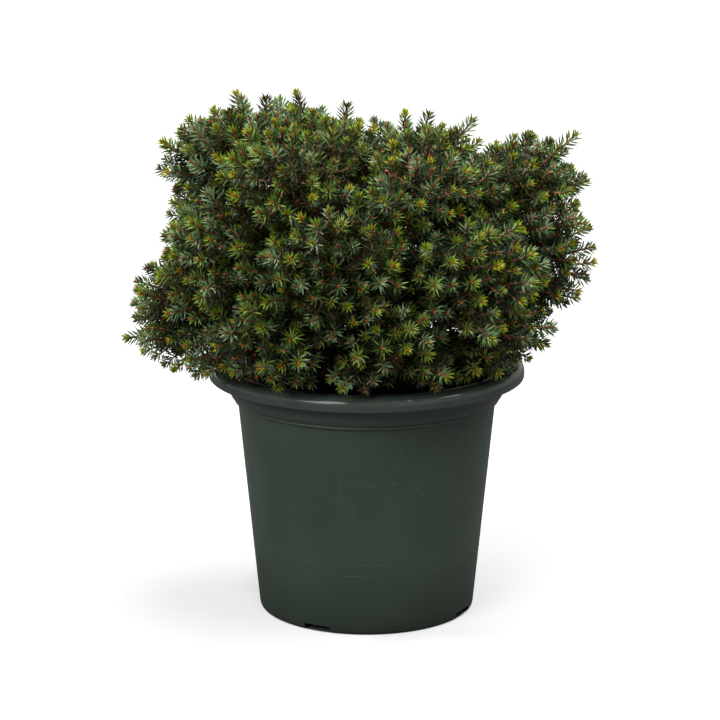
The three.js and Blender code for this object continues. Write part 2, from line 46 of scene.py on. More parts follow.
# Pot
POT_HEIGHT = 151.5
POT_SEGMENTS = 160
POT_WALL = 1.6
WALL_RADIUS_AT_GROUND = 65.2
WALL_FLARE = 0.0975
WALL_TOP = 130
FOOT_RADIUS = 63.5
FOOT_ROUNDING = 2.5
FOOT_RING_INNER = 58.5
CENTRE_DISC_RADIUS = 40
CHANNEL_RISE = 4
CHANNEL_SLOPE = 1.5
COLLAR_RADIUS = 83
BEAD_RADIUS = 79.7
BEAD_STEP = 0.5
BEAD_TOP = 136.5
LIP_RADIUS = 95
LIP_WIDTH = 14.8
LIP_DEPTH = 6.5
LIP_OVERHANG = 1.7
LIP_EDGE = 1.6
LIP_INNER_END = 150
LIP_SQUARENESS = 0.65
NOTCH_COUNT = 4
NOTCH_WIDTH = 17
NOTCH_TURN = -117
HOLE_COUNT = 6
HOLE_RADIUS = 4.5
HOLE_SIDES = 32
RING_LINES = (37.1, 43.9, 86.8, 93.7)
RING_LINE_HEIGHT = 0.1
RING_LINE_WIDTH = 0.6
RIM_BEAD = 0.9

# Looks of the pot. The table of the painted foot shade says how much of the colour is left at each
# share of its height, and GLOSS at which shares of the height above the wall the lip's gloss starts
# and is full
POT_DARK = (0.057, 0.090, 0.062)
POT_LIGHT = (0.072, 0.106, 0.077)
POT_DUST = (0.24, 0.24, 0.20)
POT_RUBBED = (0.115, 0.138, 0.120)
# A paler grey blended into the collar and lip: a painted reflection, which also lightens the collar
# where the lip shades it
POT_PAINTED_REFLECTION = (0.078, 0.094, 0.084)
# Painted shade: the pot darkens towards the foot, with a dark line at the very bottom
PAINTED_FOOT_SHADE_HEIGHT = 46
PAINTED_FOOT_SHADE = ((0, 0.2), (0.03, 0.5), (0.25, 0.64), (0.6, 0.82), (1, 1))
GLOSS = (0.68, 0.85)
GLOSS_ROUGHNESS = 0.13
LIP_WAVES = 0.5

# Soil
CLEARANCE = 0.35
SOIL_TOP = 136
SOIL_CROWNING = 1.2
SOIL_LUMPS = 2.2
SOIL_LUMP_SIZE = 7
SOIL_SEGMENTS = 120
SOIL_RINGS = 40
CRUMBS = 420
CRUMB_SIDES = 5
CRUMB_SIZES = (0.7, 2.1)

# Trunk and boughs
TRUNK_FOOT = SOIL_TOP + SOIL_CROWNING + CLEARANCE
TRUNK_TOP = 171
TRUNK_LENGTH = TRUNK_TOP - TRUNK_FOOT
TRUNK_RADIUS = 8.6
TRUNK_TAPER = 0.7
TRUNK_LEAN = np.array([-3, 1.5, 0])
FLARE_RADIUS = 6.5
FLARE_HEIGHT = 7
BUTTRESSES = 4
BUTTRESS_SHARE = 0.25
TRUNK_RINGS, TRUNK_SIDES = 44, 56
BOUGH_RINGS, BOUGH_SIDES = 40, 14
BOUGH_TIP_RADIUS = 1.7
BOUGH_SWEEP = 0.45
FORK_RING = 6.6
FORK_MIDDLE = 2.45
TRUNK_RELIEF = 0.55
TRUNK_FLAKES = np.array([1.8, 1.8, 4.5])
BOUGH_RELIEF = 0.22
BOUGH_FLAKES = 1.6

# Tiers of boughs and masses of foliage
TIERS = {
    "low": {"foot": 147, "hub": 152, "foot_radius": 2.7, "directions": 36},
    "mid": {"foot": 158, "hub": 172, "foot_radius": 2.6, "directions": 36},
    "top": {"foot": TRUNK_TOP, "hub": 200, "foot_radius": 2.05, "directions": 30},
}
SPREAD = 1.24
FORKS = {"middle_left": 1, "middle_right": -1}
FORK_SPREAD = 1.4
HANGING = "low_left"
RIM_CLEARANCE = 0.8
HANG_BELOW_RIM = 5
ENTRY_SHARE = 0.9
STEM_RADIUS = 1.7
GOLDEN_ANGLE = math.pi * (3 - math.sqrt(5))
DIRECTIONS_USED = 0.66
DIRECTION_JITTER = 0.3
UPWARD_BIAS = 0.2
LENGTH_TRIES = (1, 0.95, 0.9, 0.85, 0.8, 0.75, 0.7)
LENGTH_JITTER = 0.26
LONG_SHARE = 0.06
LONG_LENGTH = 1.12
PILLOW = 0.25
PILLOW_LIMIT = 1.5
UNDERSIDE_RISE = 0.22
LIMB_CLEARANCE = 1

# Outline of the crown: at each height, how far its shoots reach to the left, to the right and to
# the front and back, and the line of its top from left to right
OUTLINE = np.array([
    (148, 122, 90, 102), (164, 148, 106, 112), (190, 147, 122, 120), (208, 138, 136, 124),
    (223, 132, 139, 124), (242, 127, 136, 121), (252, 121, 126, 118), (262, 124, 134, 115),
    (285, 122, 126, 106), (298, 104, 122, 92), (312, 76, 60, 70),
])
OUTLINE_POWER = 2.4
TOP_LINE = np.array([
    (-125, 303), (-100, 309), (-75, 311), (-40, 308), (-20, 301), (5, 295), (25, 298), (50, 294),
    (75, 286), (100, 289), (130, 287),
])
TOP_CURVE = 0.0018

# Ends of single leaders that stand out of the crown
LEADER_TIPS = np.array([
    (-120, -5, 285), (-117, -12, 268), (-105, 10, 296), (-78, 20, 310), (-60, 15, 308),
    (-42, 12, 312), (-12, 20, 303), (23, 20, 299), (37, 19, 298), (63, 17, 295), (88, 15, 285),
    (124, 10, 287), (130, 0, 261), (132, -6, 234), (134, -5, 222), (118, -14, 190),
    (106, -26, 168), (-136, -8, 202), (-139, -6, 188), (-144, -8, 167), (-59, -101, 195),
    (-14, -106, 161), (-6, -112, 180), (42, -97, 188),
])

# Finer growth: each spray of the part's source becomes a branchlet with a leader, whorls of side
# shoots behind it and older shoots further in. A whorl leaves the branchlet at back behind the
# leader's tip, and out and behind say where its shoots end, seen from that tip
SIDE_TRIES = (1, 0.85, 0.7)
SHOOT_MARGIN = 0.5
WHORL_MARGIN = 3.5
MOUTH_RADIUS = 72
MOUTH_DROP = 9
NEEDLE_DROP = 4.5
LEADER_LENGTH = 24
LEADER_FORK = 0.86
CROWN_HEART = np.array([-3, 0, 178])
LEADER_OUTWARD = 0.6
SIDE_OUTWARD = 0.8
TURN_LENGTH = 0.45
SHORTEST_BRANCHLET = 20
WHORLS = (
    {"kind": "side", "tries": 6, "back": 20, "out": 11.5, "behind": 4.5, "apart": 10},
    {"kind": "side", "tries": 7, "back": 30, "out": 20, "behind": 9, "apart": 10.5},
    {"kind": "side", "tries": 5, "back": 34, "out": 14, "behind": 16, "apart": 10.5},
    {"kind": "inner", "tries": 6, "back": 42, "out": 15, "behind": 24, "apart": 8.5},
)
WHORL_JITTER = 0.2
FILLING_SHOOTS = 36
FILLING_REACH = (0.35, 0.68)
BOUGH_SHOOTS = 28
BOUGH_SHOOT_LENGTH = (13, 21)

# Kinds of shoot: needles on each millimetre, share that is bare, length of a needle and how wide it
# is, buds at the end, shares of the shoots with fresh tips, with dark needles and with light ones
# (painted shade and painted highlight, most shade on inner shoots and most highlight on leaders),
# and radius at the foot and at the tip
KINDS = {
    "leader": {"dense": 2.15, "bare": 0.02, "needle": 8.4, "wide": 1, "buds": 4,
               "fresh": 0.6, "dark": 0.15, "light": 0.4, "radii": (0.85, 0.55)},
    "side": {"dense": 2.25, "bare": 0.15, "needle": 7.2, "wide": 1, "buds": 3,
             "fresh": 0.45, "dark": 0.4, "light": 0.22, "radii": (0.65, 0.45)},
    "inner": {"dense": 1.3, "bare": 0.15, "needle": 6.5, "wide": 1.3, "buds": 1,
              "fresh": 0.05, "dark": 0.8, "light": 0, "radii": (0.7, 0.45)},
}
BRANCHLET_RADII = (1.5, 0.9)

# Needles
NEEDLE_SIDES = 3
NEEDLE_RADIUS = 0.58
NEEDLE_SHOULDER = 0.5
NEEDLE_BEND = 0.07
NEEDLE_LEAN_AT_FOOT = math.radians(76)
NEEDLE_LEAN_AT_TIP = math.radians(32)
NEEDLE_CROWDING = 0.7
NEEDLE_LEAN_JITTER = math.radians(10)
NEEDLE_TURN_JITTER = 0.12
NEEDLE_LIFT = 0.08
NEEDLE_LENGTHS = (0.86, 1.08)
SHOOT_LENGTHS = (0.8, 1.08)
SHORTER_AT_TIP = 0.5

# Tones of needles, dealt out by shoot, with their roughness and specular level. Blue and green are
# each a dark tone followed by a middle and a light tone. The dark and deep tones are painted shade
# and the light tones painted highlight, laid over the needles' own random tones; the old tone is
# brown old needles, also used as painted shade
NEEDLE_GLOSS = (0.36, 0.35)
DEEP_SHADE, OLD, BLUE, _, _, GREEN, _, _, FRESH, LIME, DEAD = range(11)
NEEDLE_TONES = {
    "deep": (0.015, 0.021, 0.006),
    "old": (0.050, 0.037, 0.012),
    "blue_shaded": (0.040, 0.074, 0.029),
    "blue": (0.133, 0.228, 0.082),
    "blue_lit": (0.322, 0.462, 0.232),
    "green_shaded": (0.043, 0.078, 0.012),
    "green": (0.142, 0.240, 0.040),
    "green_lit": (0.300, 0.442, 0.098),
    "fresh": (0.265, 0.410, 0.012),
    "lime": (0.440, 0.520, 0.012),
    "dead": (0.400, 0.170, 0.080),
}
BLUE_SHARE = 0.56
OLD_SHARE = 0.4
# Share of inner shoots in the old or deep tone: browned old needles and painted shade
BROWNED_AND_SHADED_SHARE = 0.8
# Needles up to these shares of a shoot's length take the old or deep tone and then the dark tone:
# painted shade deeper in the crown
DEEP_SHADE_END = 0.4
DARK_SHADE_END = 0.6
FRESH_SHARE = 0.2
LIME_SHARE = 0.14
LIME_START = 0.85
DEAD_SHARE = 0.006

# Twigs: colour, roughness and specular level of each tone, and the tones that faces are dealt
WOOD_TONES = {
    "twig_orange": ((0.40, 0.175, 0.085), 0.6, 0.3),
    "twig_brown": ((0.18, 0.075, 0.038), 0.6, 0.3),
    "twig_dark": ((0.06, 0.030, 0.018), 0.7, 0.2),
    "twig_old": ((0.12, 0.070, 0.045), 0.85, 0.2),
}
YOUNG_WOOD = (0, 1, 1, 2)
OLD_WOOD = (1, 3, 3)
YOUNG_PEGS = 0.25
OLD_PEGS = 0.1

# Buds: BUD_RINGS has shares of the bud's length, each with the share of its radius there
BUD_TONES = {
    "bud_orange": ((0.60, 0.135, 0.040), 0.45),
    "bud_brown": ((0.36, 0.072, 0.032), 0.5),
}
BUD_SIDES = 4
BUD_LENGTH = 2.6
BUD_RADIUS = 0.85
BUD_RINGS = ((0.28, 0.95), (0.62, 0.72))
BUD_SPREAD = 0.9
LESSER_BUDS = 0.75
SIDE_BUDS = 3

# Camera, floor and backdrop
CAMERA_PLACE = np.array([-3.99, -1500.5, 511.86])
CAMERA_TILT = math.radians(90 - 13.495)
CAMERA_LENS = 128.12
CAMERA_SENSOR = 36
FLOOR_SIZE = 40000
FLOOR_SEEN = 0.5
FLOOR_GLOW = 0.48
FLOOR_BOUNCE = 0.12
WORLD_COLOUR = (1, 0.97, 0.9, 1)
WORLD_LIGHT = 0.015
WORLD_REFLECTED = 0.48
WHITE = (1, 1, 1, 1)

# Lights: azimuth anticlockwise from the right-hand side, elevation and width, all in degrees, and
# strength
LIGHTS = {
    "key_right": (-8, 70, 52, 2.8),
    "front": (-126, 34, 34, 1.34),
    "left_spark": (-155, 66, 6, 1.35),
    "top_back": (80, 74, 40, 0.6),
    "right_fill": (-45, 14, 50, 0.16),
}


def seeded(seed):
    """A repeatable stream of numbers from 0 to 1, as in the part's source."""
    state = seed

    def draw():
        nonlocal state
        state = (state * 1664525 + 1013904223) % 4294967296
        return state / 4294967296

    return draw


def unit(vectors):
    return vectors / np.linalg.norm(vectors, axis=-1, keepdims=True)


def mix(start, end, share):
    return start + (end - start) * share


def curve(start, corner, end, share):
    """A point on a curve from start to end that leans towards the corner."""
    return start * (1 - share) ** 2 + corner * 2 * share * (1 - share) + end * share ** 2


def across_axes(axes):
    """Two unit vectors square to each axis and to each other."""
    steep = np.abs(axes[..., 2:]) > 0.8
    helper = np.where(steep, np.array([1.0, 0, 0]), np.array([0, 0, 1.0]))
    first = unit(np.cross(axes, helper))
    return first, np.cross(axes, first)


def turns(count):
    return 2 * math.pi * np.arange(count) / count


def circles(first, second, sides):
    """Points of unit circles in the planes that the pairs of vectors span."""
    angles = turns(sides)
    return first[:, None] * np.cos(angles)[:, None] + second[:, None] * np.sin(angles)[:, None]


def sideways_at(axis, angle):
    """Unit vectors square to each axis, turned round it by an angle."""
    first, second = across_axes(axis)
    return first * np.cos(angle) + second * np.sin(angle)


# Shapes joined in large numbers

def stack_faces(rings, sides, pointed):
    """Faces of a stack of rings with a point, or else a flat face, at each end."""
    ring = [[pointed + r * sides + i for i in range(sides)] for r in range(rings)]
    edges = [list(zip(corners, corners[1:] + corners[:1])) for corners in ring]
    faces = [(0, b, a) for a, b in edges[0]] if pointed else [tuple(reversed(ring[0]))]
    for low, high in zip(edges, edges[1:]):
        faces += [(a, b, d, c) for (a, b), (c, d) in zip(low, high)]
    tip = pointed + rings * sides
    return faces + ([(a, b, tip) for a, b in edges[-1]] if pointed else [tuple(ring[-1])])


class Parts:
    """Many small shapes that become one mesh."""

    def __init__(self):
        self.points = []
        self.corners = []
        self.sizes = []
        self.materials = []
        self.count = 0

    def add(self, points, faces, materials):
        """points has a row for each shape, and materials a number for each shape or face."""
        shapes, each = points.shape[:2]
        template = np.array([corner for face in faces for corner in face])
        offsets = self.count + each * np.arange(shapes)
        self.points.append(points.reshape(-1, 3))
        self.corners.append((offsets[:, None] + template).ravel())
        self.sizes.append(np.tile([len(face) for face in faces], shapes))
        numbers = np.asarray(materials).reshape(shapes, -1)
        self.materials.append(np.broadcast_to(numbers, (shapes, len(faces))).ravel())
        self.count += shapes * each

    def add_stacks(self, middles, planes, radii, sides, materials, ends=None):
        """middles and radii have a row for each stack and a place for each ring. planes has the
        pairs of vectors that span the rings, and ends the feet and tips of pointed stacks."""
        circle = circles(*planes, sides)
        rings = middles[:, :, None] + radii[:, :, None, None] * circle[:, None]
        points = rings.reshape(len(middles), -1, 3)
        if ends:
            points = np.concatenate([ends[0][:, None], points, ends[1][:, None]], axis=1)
        self.add(points, stack_faces(middles.shape[1], sides, bool(ends)), materials)


def single(points, faces):
    parts = Parts()
    parts.add(points[None], faces, [0])
    return parts


def stand(name, data):
    made = bpy.data.objects.new(name, data)
    bpy.context.scene.collection.objects.link(made)
    return made


def joined(name, parts, materials, smooth=False):
    points = np.concatenate(parts.points) * MM
    corners = np.concatenate(parts.corners)
    sizes = np.concatenate(parts.sizes)
    mesh = bpy.data.meshes.new(name)
    mesh.vertices.add(len(points))
    mesh.vertices.foreach_set("co", points.astype(np.float32).ravel())
    mesh.loops.add(len(corners))
    mesh.loops.foreach_set("vertex_index", corners.astype(np.int32))
    mesh.polygons.add(len(sizes))
    mesh.polygons.foreach_set("loop_start", (np.cumsum(sizes) - sizes).astype(np.int32))
    numbers = np.concatenate(parts.materials).astype(np.int32)
    mesh.polygons.foreach_set("material_index", numbers)
    mesh.polygons.foreach_set("use_smooth", np.full(len(sizes), smooth))
    for material in materials:
        mesh.materials.append(material)
    mesh.update(calc_edges=True)
    mesh.validate()
    return stand(name, mesh)


def piece(name, parts, materials, smooth=False):
    """A part of the plant or its pot, all of which is one body."""
    made = joined(name, parts, materials, smooth)
    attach(made, "root")
    return made


# Masses of foliage and the boughs that carry them

def trunk_axis(height):
    share = (height - TRUNK_FOOT) / TRUNK_LENGTH
    return TRUNK_LEAN * share + np.array([0, 0, height])


def in_outline(point):
    x, y, z = point
    if z > np.interp(x, TOP_LINE[:, 0], TOP_LINE[:, 1]) - TOP_CURVE * y * y:
        return False
    left, right, deep = (np.interp(z, OUTLINE[:, 0], reach) for reach in OUTLINE.T[1:])
    side = left if x < 0 else right
    return abs(x / side) ** OUTLINE_POWER + abs(y / deep) ** OUTLINE_POWER < 1


class Mass:
    """A mass of foliage: azimuth is anticlockwise from the right-hand side, out is from the pot's
    axis to its middle and reach from there to the tips. fork is the side of the trunk's tip where
    the bough of a middle mass stands."""

    def __init__(self, tier, side, azimuth, out, height, reach):
        self.name = f"{tier}_{side}"
        self.tier = tier
        self.reach = reach
        self.fork = FORKS.get(side, 0)
        self.spread = FORK_SPREAD if self.fork else SPREAD
        self.hangs = self.name == HANGING
        turn = math.radians(azimuth)
        self.outward = np.array([math.cos(turn), math.sin(turn), 0])
        self.middle = self.outward * out + np.array([0, 0, height])
        self.facing = unit(self.middle - trunk_axis(TIERS[tier]["hub"]))

    def spread_out(self, offset):
        """Masses are wider round the crown than they are deep."""
        sideways = np.cross([0, 0, 1], self.outward)
        return offset + sideways * ((self.spread - 1) * (offset @ sideways))

    def pillow(self, direction):
        """Sprays away from the way the mass faces are longer, which flattens its front."""
        cosine = direction @ self.facing
        if cosine < 0:
            return 1
        return 1 + PILLOW * (1 / max(cosine, 1 / PILLOW_LIMIT) - 1)

    def bough(self, share):
        """Points along the bough, which sweeps round from the trunk to point at the middle."""
        tier = TIERS[self.tier]
        end = self.middle - self.facing * self.reach * ENTRY_SHARE
        start = trunk_axis(tier["foot"])
        if self.fork:
            start[1] += FORK_MIDDLE * self.fork
        elif self.tier == "top":
            start += self.outward * FORK_RING
        else:
            start += self.outward * (TRUNK_RADIUS - TRUNK_TAPER / 2)
        corner = end - self.facing * BOUGH_SWEEP * np.linalg.norm(end - start)
        return curve(start, corner, end, np.asarray(share)[..., None])

    def find_space(self, masses):
        """The space of a mass is where it is nearer, for its reach, than every other mass."""
        others = [other for other in masses if other is not self]
        away = np.array([other.middle - self.middle for other in others])
        reaches = np.array([other.reach for other in others])
        apart = np.linalg.norm(away, axis=1)
        to_face = (apart ** 2 + self.reach ** 2 - reaches ** 2) / (2 * apart)
        self.normals = away / apart[:, None]
        self.limits = self.normals @ self.middle + to_face
        self.leader_tips = [tip for tip in LEADER_TIPS if (self.normals @ tip < self.limits).all()]

    def holds(self, point, in_whorl=False):
        """Whether a tip is inside the crown's outline and the mass's space, and clear of the pot.
        Shoots of a whorl may dip into its mouth."""
        margin = WHORL_MARGIN if in_whorl else SHOOT_MARGIN
        if (self.normals @ point - self.limits).max() > -margin or not in_outline(point):
            return False
        from_axis = math.hypot(point[0], point[1])
        beyond_rim = from_axis - (LIP_RADIUS + RIM_CLEARANCE + NEEDLE_DROP)
        lowest = POT_HEIGHT + RIM_CLEARANCE + UNDERSIDE_RISE * max(0, beyond_rim)
        if self.hangs and beyond_rim > 0:
            lowest -= HANG_BELOW_RIM
        if in_whorl and from_axis < MOUTH_RADIUS:
            lowest -= MOUTH_DROP
        return point[2] > lowest + NEEDLE_DROP


# Masses of each tier: side, azimuth, out, height and reach
MASSES = [Mass(tier, *row) for tier, rows in {
    "low": (
        ("left", 180, 98, 177, 49), ("front_left", -131, 88, 174, 45),
        ("front", -80, 85, 174, 45), ("front_right", -29, 84, 178, 44),
        ("back_right", 24, 84, 177, 43), ("back", 76, 85, 175, 44),
        ("back_left", 129, 89, 174, 45),
    ),
    "mid": (
        ("front_left", -155, 92, 223, 45), ("front", -101, 89, 222, 45),
        ("front_right", -53, 90, 221, 45), ("right", -2, 94, 213, 44),
        ("back_right", 49, 90, 217, 45), ("back", 101, 89, 221, 45),
        ("back_left", 153, 91, 223, 45),
    ),
    "top": (
        ("left", 180, 81, 273, 44), ("front_left", -122, 72, 273, 43),
        ("front_right", -62, 72, 264, 42), ("right", -3, 92, 254, 40),
        ("back_right", 61, 73, 260, 42), ("back_left", 121, 73, 267, 43),
        ("middle_left", 165, 24, 268, 43), ("middle_right", -5, 32, 262, 41),
    ),
}.items() for row in rows]


def spray_directions(mass, random):
    """Directions spread round the way that the mass faces, drawn upwards."""
    count = TIERS[mass.tier]["directions"]
    turned = Vector((0, 0, 1)).rotation_difference(Vector(mass.facing))
    turn = 2 * math.pi * random()
    directions = []
    for k in range(math.ceil(DIRECTIONS_USED * count)):
        height = 1 - (2 * k + 0.2) / count
        across = math.sqrt(1 - height * height)
        angle = k * GOLDEN_ANGLE + turn
        even = (across * math.cos(angle), across * math.sin(angle), height)
        direction = Vector([place + DIRECTION_JITTER * (random() - 0.5) for place in even])
        direction.rotate(turned)
        direction.z += UPWARD_BIAS
        directions.append(unit(np.array(direction)))
    return directions


def limb_points():
    """Points along the middle of the trunk and of each bough, with the radius there."""
    trunk = [trunk_axis(height) for height in np.arange(TRUNK_FOOT, TRUNK_TOP, TRUNK_RADIUS)]
    boughs = [point for mass in MASSES for point in mass.bough(np.linspace(0, 1, 13))]
    radii = [TRUNK_RADIUS] * len(trunk) + [BOUGH_TIP_RADIUS] * len(boughs)
    return np.array(trunk + boughs), np.array(radii)


def clear_of_limbs(root, tip, limbs):
    """Whether a twig from root to tip, with its needles, touches no limb."""
    points, radii = limbs
    line = tip - root
    share = np.clip((points - root) @ line / (line @ line), 0, 1)
    gaps = np.linalg.norm(root + share[:, None] * line - points, axis=1)
    return bool(np.all(gaps > radii + KINDS["inner"]["needle"] + LIMB_CLEARANCE))


class Growth:
    """The shoots of one mass by kind, and the branchlets that they grow on, each with a foot, a tip
    and an aim."""

    def __init__(self):
        self.shoots = {kind: [] for kind in KINDS}
        self.branchlets = []
        self.tips = []

    def crowded(self, tip, apart):
        if not self.tips:
            return False
        return np.linalg.norm(np.array(self.tips) - tip, axis=1).min() < apart

    def add(self, kind, foot, tip, aim):
        self.shoots[kind].append((foot, tip, aim))
        self.tips.append(tip)


def aim_outwards(heading, tip, share):
    """Shoots turn from their heading towards the light outside the crown."""
    return unit(mix(unit(heading), unit(tip - CROWN_HEART), share))


def grow_whorl(mass, growth, whorl, foot, tip, rng):
    """Shoots that leave a branchlet together. One that would leave the mass's space is grown
    shorter, and one with no room of its own is skipped."""
    leader = np.linalg.norm(tip - foot)
    inner = np.linalg.norm(foot - mass.middle)
    scale = min(1, (leader + inner) / (whorl["back"] + SHOOT_MARGIN))
    back = whorl["back"] * scale
    axis = (tip - foot) / leader
    if back < leader:
        base = tip - axis * back
    else:
        base = mix(foot, mass.middle, (back - leader) / inner)
    first, second = across_axes(axis)
    turn = rng.uniform(0, 2 * math.pi)
    for k in range(whorl["tries"]):
        angle = turn + 2 * math.pi * (k + rng.uniform(-WHORL_JITTER, WHORL_JITTER)) / whorl["tries"]
        sideways = first * math.cos(angle) + second * math.sin(angle)
        out = whorl["out"] * rng.uniform(1 - WHORL_JITTER, 1 + WHORL_JITTER)
        behind = whorl["behind"] * rng.uniform(1 - 2 * WHORL_JITTER, 1 + 2 * WHORL_JITTER)
        target = tip + (sideways * out - axis * behind) * scale
        for share in SIDE_TRIES:
            end = mix(base, target, share)
            if mass.holds(end, in_whorl=True) and not growth.crowded(end, whorl["apart"]):
                growth.add(whorl["kind"], base, end, aim_outwards(end - base, end, SIDE_OUTWARD))
                break


def grow(mass, seed, limbs):
    """All twigs of a mass, by the rule of the part's source: branchlets with their leaders first,
    then side shoots that fill the room between them."""
    random = seeded(seed)
    rng = np.random.default_rng(seed)
    growth = Growth()
    leaders = []
    directions = spray_directions(mass, random)
    chances = [random() for _ in directions]
    for direction, chance in zip(directions, chances):
        longest = mass.spread_out(direction) * mass.reach * mass.pillow(direction)
        for share in LENGTH_TRIES:
            tip = mass.middle + longest * share
            if mass.holds(tip) and clear_of_limbs(mass.middle, tip, limbs):
                shorter = 1 - LENGTH_JITTER * chance
                end = mix(mass.middle, tip, LONG_LENGTH if chance < LONG_SHARE else shorter)
                leaders.append((end, mix(mass.middle, tip, shorter)))
                break
    leaders += [(tip, mix(mass.middle, tip, LEADER_FORK)) for tip in mass.leader_tips]
    branchlets = []
    for end, tip in leaders:
        length = np.linalg.norm(tip - mass.middle)
        aim = aim_outwards(tip - mass.middle, tip, LEADER_OUTWARD)
        foot = tip - aim * min(LEADER_LENGTH, 0.6 * length)
        growth.add("leader", foot, end, aim)
        growth.branchlets.append((mass.middle, foot, aim))
        if length > SHORTEST_BRANCHLET:
            branchlets.append((foot, tip))
    for whorl in WHORLS:
        for foot, tip in branchlets:
            grow_whorl(mass, growth, whorl, foot, tip, rng)
    for _ in range(FILLING_SHOOTS):
        aim = unit(rng.normal(0, 1, 3))
        tip = mass.middle + aim * mass.reach * rng.uniform(*FILLING_REACH)
        if mass.holds(tip):
            growth.add("inner", mass.middle, tip, aim)
    for share in np.linspace(0.3, 1, BOUGH_SHOOTS):
        foot = mass.bough(share)
        aim = unit(rng.normal(0, 1, 3) * [1, 1, 0.6] + mass.facing * 0.5)
        tip = foot + aim * rng.uniform(*BOUGH_SHOOT_LENGTH)
        in_mouth = math.hypot(tip[0], tip[1]) < MOUTH_RADIUS
        if tip[2] > (SOIL_TOP if in_mouth else POT_HEIGHT) + 2 * NEEDLE_DROP:
            growth.add("inner", foot, tip, aim)
    return growth


def along(shoots, share):
    """Points and directions at a share of each shoot's length, as it turns to its aim."""
    feet, tips, aims = shoots
    share = share[..., None]
    turn = tips - aims * TURN_LENGTH * np.linalg.norm(tips - feet, axis=-1, keepdims=True)
    heading = unit((turn - feet) * (1 - share) + (tips - turn) * share)
    return curve(feet, turn, tips, share), heading


def arrays(shoots):
    return tuple(np.array(column, float) for column in zip(*shoots))


def needle_tones(kind, share, which, shoots, rng):
    """A tone for each needle, mostly as its shoot is. Towards old wood it is deeper, in the brown of
    old needles and in painted shade; only the outer part of a shoot may take a light tone, a painted
    highlight; and the tips of some shoots are fresher."""
    rule = KINDS[kind]
    colour = np.where(rng.random(shoots) < BLUE_SHARE, BLUE, GREEN)
    chance = rng.random(shoots)
    depth = np.where(chance < rule["dark"], 0, np.where(chance > 1 - rule["light"], 2, 1))
    # Per shoot, the brown of old needles or the deep tone, which is painted shade
    shade = np.where(rng.random(shoots) < OLD_SHARE, OLD, DEEP_SHADE)
    if kind == "inner":
        colour = np.where(rng.random(shoots) < BROWNED_AND_SHADED_SHARE, shade, colour)
    depth = np.clip(depth[which] + rng.choice([-1, 0, 0, 1], len(which)), 0, 2)
    # Shoots in the old or deep tone keep it; on the others the inner part takes the dark tone,
    # painted shade, and only the outer part may keep a middle or a light tone, the light one a
    # painted highlight
    depth = np.where((colour[which] < BLUE) | (share < DARK_SHADE_END), 0, depth)
    tone = colour[which] + depth
    # The inner part of each shoot takes the old or deep tone: painted shade inside the crown
    tone = np.where(share < DEEP_SHADE_END, shade[which], tone)
    fresh = rng.random(shoots) < rule["fresh"]
    from_share = rng.uniform(1 - FRESH_SHARE, 1, shoots)
    tone = np.where(fresh[which] & (share > from_share[which]), FRESH, tone)
    lime = rng.random(shoots) < LIME_SHARE
    tone = np.where((fresh & lime)[which] & (share > LIME_START), LIME, tone)
    return np.where(rng.random(len(which)) < DEAD_SHARE, DEAD, tone)


def add_needles(parts, kind, shoots, rng):
    """Needles round each shoot, wide apart at its foot and closing round the bud. Each is a slim
    spindle."""
    rule = KINDS[kind]
    lengths = np.linalg.norm(shoots[1] - shoots[0], axis=1)
    counts = np.maximum(6, rule["dense"] * lengths * (1 - rule["bare"])).astype(int)
    which = np.repeat(np.arange(len(counts)), counts)
    order = np.concatenate([np.arange(count) for count in counts])
    total = len(which)
    place = (order + 0.5 + rng.uniform(-0.4, 0.4, total)) / counts[which]
    share = mix(rule["bare"], 1, np.clip(place, 0, 1) ** NEEDLE_CROWDING)
    middle, axis = along([column[which] for column in shoots], share)
    turn = order * GOLDEN_ANGLE + rng.uniform(0, 2 * math.pi, len(counts))[which]
    turn = turn + rng.normal(0, NEEDLE_TURN_JITTER, total)
    out = sideways_at(axis, turn[:, None])
    lean = mix(NEEDLE_LEAN_AT_FOOT, NEEDLE_LEAN_AT_TIP, share ** 3)
    lean = (lean + rng.uniform(-NEEDLE_LEAN_JITTER, NEEDLE_LEAN_JITTER, total))[:, None]
    heading = axis * np.cos(lean) + out * np.sin(lean)
    heading = unit(heading + np.array([0, 0, NEEDLE_LIFT]))
    length = rule["needle"] * rng.uniform(*NEEDLE_LENGTHS, total) * (1 - SHORTER_AT_TIP * share ** 6)
    length = length * rng.uniform(*SHOOT_LENGTHS, len(counts))[which]
    foot = middle + out * rule["radii"][1] * 0.4
    tip = foot + heading * length[:, None] + axis * (NEEDLE_BEND * length)[:, None]
    radius = np.hypot(tip[:, 0], tip[:, 1])
    rim, mouth = LIP_RADIUS + RIM_CLEARANCE, MOUTH_RADIUS + NEEDLE_DROP
    lowest = np.where(radius < rim, POT_HEIGHT + RIM_CLEARANCE / 2, 0)
    kept = tip[:, 2] > np.where(radius < mouth, SOIL_TOP + SOIL_CROWNING + SOIL_LUMPS, lowest)
    tones = needle_tones(kind, share, which, len(counts), rng)
    foot, tip, heading, out = foot[kept], tip[kept], heading[kept], out[kept]
    length, tones = length[kept, None], tones[kept]
    sideways = unit(np.cross(heading, out))
    planes = sideways, np.cross(heading, sideways)
    middles = (foot + heading * length * NEEDLE_SHOULDER)[:, None]
    radii = np.full((len(foot), 1), NEEDLE_RADIUS * rule["wide"])
    parts.add_stacks(middles, planes, radii, NEEDLE_SIDES, tones, (foot, tip))


